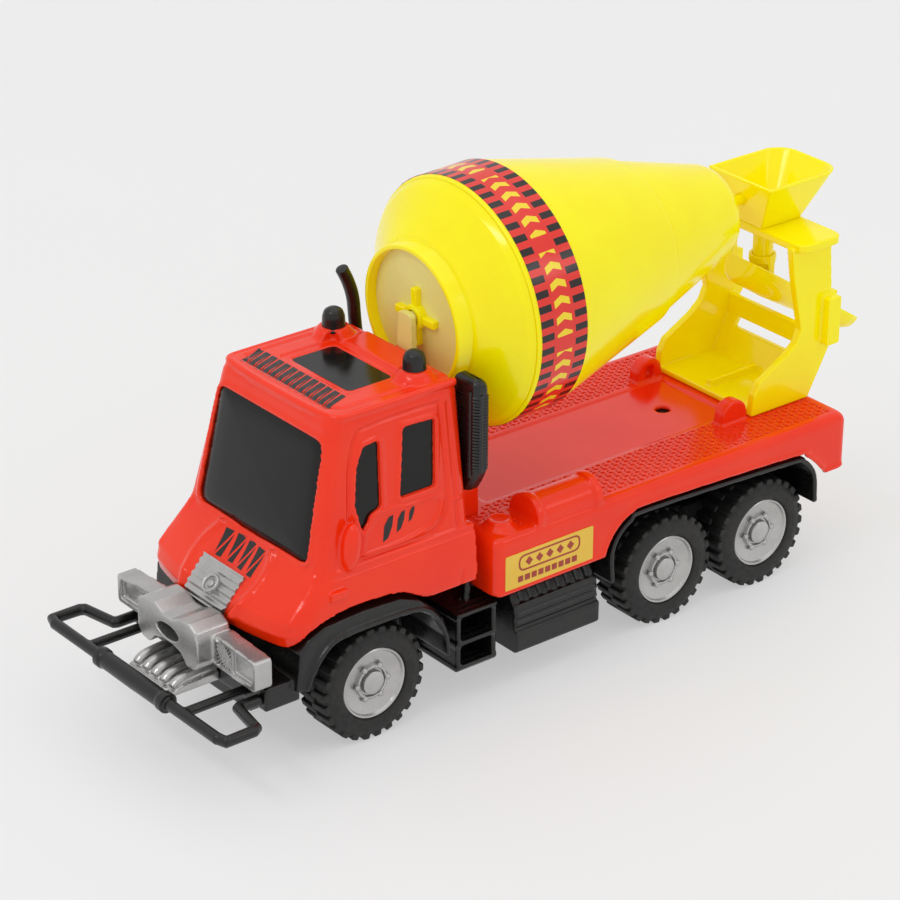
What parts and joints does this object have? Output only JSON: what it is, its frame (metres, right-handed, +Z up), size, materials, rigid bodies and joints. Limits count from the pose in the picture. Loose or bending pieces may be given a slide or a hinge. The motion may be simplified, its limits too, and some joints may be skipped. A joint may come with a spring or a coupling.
{
  "type": "toy cement mixer truck",
  "caption": "Toy cement mixer truck: cab, flat bed, turning drum on a spindle and rear frame, hopper with spout, swinging chute, rolling wheels and a front bull bar.",
  "frame": {"origin": "on the floor, under the middle of the truck's box", "axes": "+X to the truck's left side, -Y to the front, +Z up"},
  "size_m": [0.1068, 0.3338, 0.1751],
  "materials": {
    "red_plastic": "glossy injection moulded",
    "yellow_plastic": "glossy injection moulded",
    "black_plastic": "satin injection moulded",
    "dark_glazing": "glossy dark plastic",
    "silver_paint": "satin silver coating",
    "tyre_rubber": "matte, block tread",
    "axle_steel": "plain steel rod",
    "band_sticker": "printed sticker",
    "label_sticker": "printed sticker"
  },
  "bodies": {
    "truck": {"cab_shell": "red_plastic", "window_insert": "dark_glazing", "beacon_left": "black_plastic", "beacon_right": "black_plastic", "grille_plate": "silver_paint", "bumper": "silver_paint", "skid_plate": "silver_paint", "bull_bar": "black_plastic", "chassis": "black_plastic", "bed_shell": "red_plastic", "air_intake": "black_plastic", "exhaust_pipe": "black_plastic", "drum_front_support": "red_plastic", "rear_frame": "yellow_plastic", "hopper": "yellow_plastic", "side_label_left": "label_sticker", "side_label_right": "label_sticker", "chassis_screw_1": "axle_steel", "chassis_screw_2": "axle_steel", "chassis_screw_3": "axle_steel", "chassis_screw_4": "axle_steel"},
    "drum": {"drum_front": "yellow_plastic", "drum_shell": "yellow_plastic", "drum_rear": "yellow_plastic", "drum_band": "band_sticker", "rear_pivot_pin": "yellow_plastic"},
    "front_wheels": {"front_axle": "axle_steel", "front_left_tyre": "tyre_rubber", "front_left_rim": "silver_paint", "front_right_tyre": "tyre_rubber", "front_right_rim": "silver_paint"},
    "middle_wheels": {"middle_axle": "axle_steel", "middle_left_tyre": "tyre_rubber", "middle_left_rim": "silver_paint", "middle_right_tyre": "tyre_rubber", "middle_right_rim": "silver_paint"},
    "rear_wheels": {"rear_axle": "axle_steel", "rear_left_tyre": "tyre_rubber", "rear_left_rim": "silver_paint", "rear_right_tyre": "tyre_rubber", "rear_right_rim": "silver_paint"},
    "chute": {"chute": "yellow_plastic"}
  },
  "joints": [
    {"name": "drum_spin", "type": "hinge", "parent": "truck", "child": "drum", "pos_m": [0, 0.1013, 0.1345], "axis": [0, -0.9993, -0.0384], "continuous": true},
    {"name": "front_wheels_roll", "type": "hinge", "parent": "truck", "child": "front_wheels", "pos_m": [0, -0.093, 0.021], "axis": [1, 0, 0], "continuous": true},
    {"name": "middle_wheels_roll", "type": "hinge", "parent": "truck", "child": "middle_wheels", "pos_m": [0, 0.0379, 0.021], "axis": [1, 0, 0], "continuous": true},
    {"name": "rear_wheels_roll", "type": "hinge", "parent": "truck", "child": "rear_wheels", "pos_m": [0, 0.0842, 0.021], "axis": [1, 0, 0], "continuous": true},
    {"name": "chute_swing", "type": "hinge", "parent": "truck", "child": "chute", "pos_m": [0, 0.116, 0.1042], "axis": [0, 0, 1], "range_deg": [-25, 25]}
  ]
}
